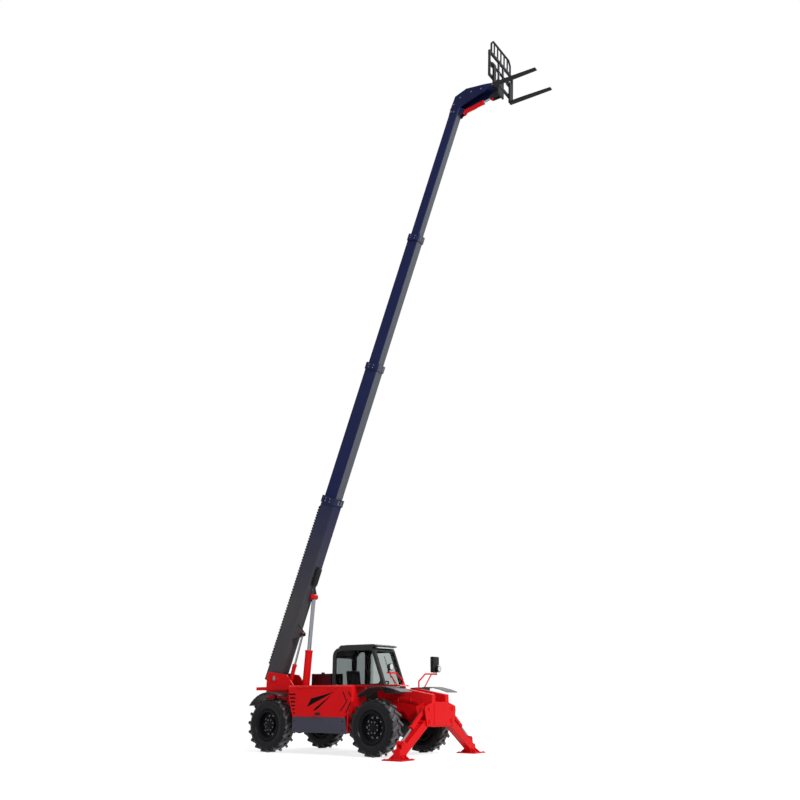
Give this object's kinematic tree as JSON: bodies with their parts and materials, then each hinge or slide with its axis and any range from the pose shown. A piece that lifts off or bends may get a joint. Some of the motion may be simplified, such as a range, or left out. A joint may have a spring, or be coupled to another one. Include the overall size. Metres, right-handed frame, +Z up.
{
  "type": "telescopic handler",
  "caption": "Rough-terrain telescopic handler on four lugged tyres, with a side cab, engine pod, long raised telescopic boom, fork carriage and front stabilisers",
  "frame": {"origin": "on the ground, below the centre of the bounding box", "axes": "+X ahead along the wheelbase, +Y to the left, +Z up"},
  "size_m": [8.4776, 3.386, 17.5183],
  "materials": {
    "red_paint": "gloss",
    "boom_paint": "satin",
    "black_paint": "satin",
    "grey_cast": "matte",
    "dark_plastic": "matte",
    "glazing": "clear",
    "seat_cloth": "matte",
    "lamp_lens": "gloss",
    "tyre_rubber": "matte",
    "rim_paint": "satin",
    "chrome_rod": "polished",
    "mirror_case": "matte",
    "box_paint": "satin",
    "fork_steel": "satin"
  },
  "bodies": {
    "chassis": {"chassis_frame": "red_paint", "stabiliser_frame": "red_paint", "counterweight": "grey_cast", "axles": "grey_cast", "engine": "grey_cast", "engine_pod": "red_paint", "side_tanks": "dark_plastic", "rear_decks": "red_paint", "oil_box": "box_paint", "front_fenders": "dark_plastic", "cab_floor": "dark_plastic", "cab_sides": "black_paint", "cab_ends": "black_paint", "cab_roof": "dark_plastic", "cab_glass": "glazing", "seat": "seat_cloth", "controls": "dark_plastic", "lamp_brackets": "red_paint", "lamps": "lamp_lens", "mirror": "mirror_case"},
    "engine_cover": {"engine_cover": "red_paint", "cover_inlets": "dark_plastic"},
    "door": {"cab_door": "black_paint", "door_glass": "glazing"},
    "knuckle_front_left": {"knuckle_front_left": "grey_cast"},
    "wheel_front_left": {"rim_front_left": "rim_paint", "tyre_front_left": "tyre_rubber"},
    "knuckle_front_right": {"knuckle_front_right": "grey_cast"},
    "wheel_front_right": {"rim_front_right": "rim_paint", "tyre_front_right": "tyre_rubber"},
    "knuckle_rear_left": {"knuckle_rear_left": "grey_cast"},
    "wheel_rear_left": {"rim_rear_left": "rim_paint", "tyre_rear_left": "tyre_rubber"},
    "knuckle_rear_right": {"knuckle_rear_right": "grey_cast"},
    "wheel_rear_right": {"rim_rear_right": "rim_paint", "tyre_rear_right": "tyre_rubber"},
    "boom_base": {"boom_base": "boom_paint"},
    "boom_2": {"boom_section_2": "boom_paint"},
    "boom_3": {"boom_section_3": "boom_paint"},
    "boom_tip": {"boom_tip": "boom_paint", "tilt_barrel": "red_paint"},
    "carriage": {"carriage": "fork_steel", "forks": "fork_steel"},
    "tilt_rod": {"tilt_rod": "chrome_rod"},
    "lift_barrel": {"lift_barrel": "red_paint"},
    "lift_rod": {"lift_rod": "chrome_rod"},
    "level_barrel": {"level_barrel": "red_paint"},
    "level_rod": {"level_rod": "chrome_rod"},
    "leg_left": {"leg_left": "red_paint"},
    "leg_barrel_left": {"leg_barrel_left": "red_paint"},
    "leg_rod_left": {"leg_rod_left": "chrome_rod"},
    "leg_right": {"leg_right": "red_paint"},
    "leg_barrel_right": {"leg_barrel_right": "red_paint"},
    "leg_rod_right": {"leg_rod_right": "chrome_rod"}
  },
  "joints": [
    {"name": "door_hinge", "type": "hinge", "parent": "chassis", "child": "door", "pos_m": [-1.94876, 1.145, 1.4], "axis": [0, 0, 1], "range_deg": [0, 80]},
    {"name": "cover_hinge", "type": "hinge", "parent": "chassis", "child": "engine_cover", "pos_m": [-1.65576, -1.153, 1.396], "axis": [-1, 0, 0], "range_deg": [0, 70]},
    {"name": "steer_front_left", "type": "hinge", "parent": "chassis", "child": "knuckle_front_left", "pos_m": [-0.16076, 0.74, 0.59], "axis": [0, 0, 1], "range_deg": [-35, 35]},
    {"name": "spin_front_left", "type": "hinge", "parent": "knuckle_front_left", "child": "wheel_front_left", "pos_m": [-0.16076, 0.968, 0.59], "axis": [0, 1, 0], "continuous": true},
    {"name": "steer_front_right", "type": "hinge", "parent": "chassis", "child": "knuckle_front_right", "pos_m": [-0.16076, -0.74, 0.59], "axis": [0, 0, 1], "range_deg": [-35, 35]},
    {"name": "spin_front_right", "type": "hinge", "parent": "knuckle_front_right", "child": "wheel_front_right", "pos_m": [-0.16076, -0.968, 0.59], "axis": [0, 1, 0], "continuous": true},
    {"name": "steer_rear_left", "type": "hinge", "parent": "chassis", "child": "knuckle_rear_left", "pos_m": [-3.15076, 0.74, 0.59], "axis": [0, 0, 1], "range_deg": [-35, 35]},
    {"name": "spin_rear_left", "type": "hinge", "parent": "knuckle_rear_left", "child": "wheel_rear_left", "pos_m": [-3.15076, 0.968, 0.59], "axis": [0, 1, 0], "continuous": true},
    {"name": "steer_rear_right", "type": "hinge", "parent": "chassis", "child": "knuckle_rear_right", "pos_m": [-3.15076, -0.74, 0.59], "axis": [0, 0, 1], "range_deg": [-35, 35]},
    {"name": "spin_rear_right", "type": "hinge", "parent": "knuckle_rear_right", "child": "wheel_rear_right", "pos_m": [-3.15076, -0.968, 0.59], "axis": [0, 1, 0], "continuous": true},
    {"name": "boom_lift", "type": "hinge", "parent": "chassis", "child": "boom_base", "pos_m": [-3.80576, 0, 1.63], "axis": [0, -1, 0], "range_deg": [-72.8, 0]},
    {"name": "boom_2_slide", "type": "slide", "parent": "boom_base", "child": "boom_2", "axis": [0.3616, 0, 0.9323], "range_m": [-3.44, 0]},
    {"name": "boom_3_slide", "type": "slide", "parent": "boom_2", "child": "boom_3", "axis": [0.3616, 0, 0.9323], "range_m": [-3.441, 0.001]},
    {"name": "boom_tip_slide", "type": "slide", "parent": "boom_3", "child": "boom_tip", "axis": [0.3616, 0, 0.9323], "range_m": [-3.441, 0.001]},
    {"name": "carriage_tilt", "type": "hinge", "parent": "boom_tip", "child": "carriage", "pos_m": [2.886, 0, 16.41574], "axis": [0, 1, 0], "range_deg": [-80, 42]},
    {"name": "tilt_rod_slide", "type": "slide", "parent": "boom_tip", "child": "tilt_rod", "axis": [0.9964, 0, 0.0846], "range_m": [-0.1826, 0.346]},
    {"name": "lift_barrel_swing", "type": "hinge", "parent": "chassis", "child": "lift_barrel", "pos_m": [-3.10576, 0.07, 0.9], "axis": [0, -1, 0], "range_deg": [-69.12, 0.5]},
    {"name": "lift_rod_slide", "type": "slide", "parent": "lift_barrel", "child": "lift_rod", "axis": [0.0803, 0, 0.9968], "range_m": [-1.19345, 0.002]},
    {"name": "level_barrel_swing", "type": "hinge", "parent": "chassis", "child": "level_barrel", "pos_m": [-3.55576, -0.09, 1.1], "axis": [0, -1, 0], "range_deg": [-65.05, 0.5]},
    {"name": "level_rod_slide", "type": "slide", "parent": "level_barrel", "child": "level_rod", "axis": [0.2896, 0, 0.9571], "range_m": [-0.67348, 0.002]},
    {"name": "leg_left_hinge", "type": "hinge", "parent": "chassis", "child": "leg_left", "pos_m": [0.75424, 0.45, 0.71], "axis": [-1, 0, 0], "range_deg": [-90, 0]},
    {"name": "leg_left_barrel_swing", "type": "hinge", "parent": "chassis", "child": "leg_barrel_left", "pos_m": [0.75424, 0.47, 0.963], "axis": [-1, 0, 0], "range_deg": [-96.99, 0.5]},
    {"name": "leg_left_rod_slide", "type": "slide", "parent": "leg_barrel_left", "child": "leg_rod_left", "axis": [0, 0.8121, -0.5835], "range_m": [-0.34565, 0.002]},
    {"name": "leg_right_hinge", "type": "hinge", "parent": "chassis", "child": "leg_right", "pos_m": [0.75424, -0.45, 0.71], "axis": [1, 0, 0], "range_deg": [-90, 0]},
    {"name": "leg_right_barrel_swing", "type": "hinge", "parent": "chassis", "child": "leg_barrel_right", "pos_m": [0.75424, -0.47, 0.963], "axis": [1, 0, 0], "range_deg": [-96.99, 0.5]},
    {"name": "leg_right_rod_slide", "type": "slide", "parent": "leg_barrel_right", "child": "leg_rod_right", "axis": [0, -0.8121, -0.5835], "range_m": [-0.34565, 0.002]}
  ],
  "couplings": [
    {"joint": "steer_front_right", "follows": "steer_front_left", "ratio": 1},
    {"joint": "steer_rear_right", "follows": "steer_rear_left", "ratio": 1},
    {"joint": "boom_3_slide", "follows": "boom_2_slide", "ratio": 1},
    {"joint": "boom_tip_slide", "follows": "boom_2_slide", "ratio": 1},
    {"joint": "tilt_rod_slide", "follows": "carriage_tilt", "m_per_rad": -0.24637},
    {"joint": "lift_barrel_swing", "follows": "boom_lift", "ratio": 0.94263},
    {"joint": "lift_rod_slide", "follows": "boom_lift", "m_per_rad": 0.93771},
    {"joint": "level_barrel_swing", "follows": "boom_lift", "ratio": 0.88663},
    {"joint": "level_rod_slide", "follows": "boom_lift", "m_per_rad": 0.52848},
    {"joint": "leg_left_barrel_swing", "follows": "leg_left_hinge", "ratio": 1.0721},
    {"joint": "leg_left_rod_slide", "follows": "leg_left_hinge", "m_per_rad": 0.21877},
    {"joint": "leg_right_barrel_swing", "follows": "leg_right_hinge", "ratio": 1.0721},
    {"joint": "leg_right_rod_slide", "follows": "leg_right_hinge", "m_per_rad": 0.21877}
  ]
}
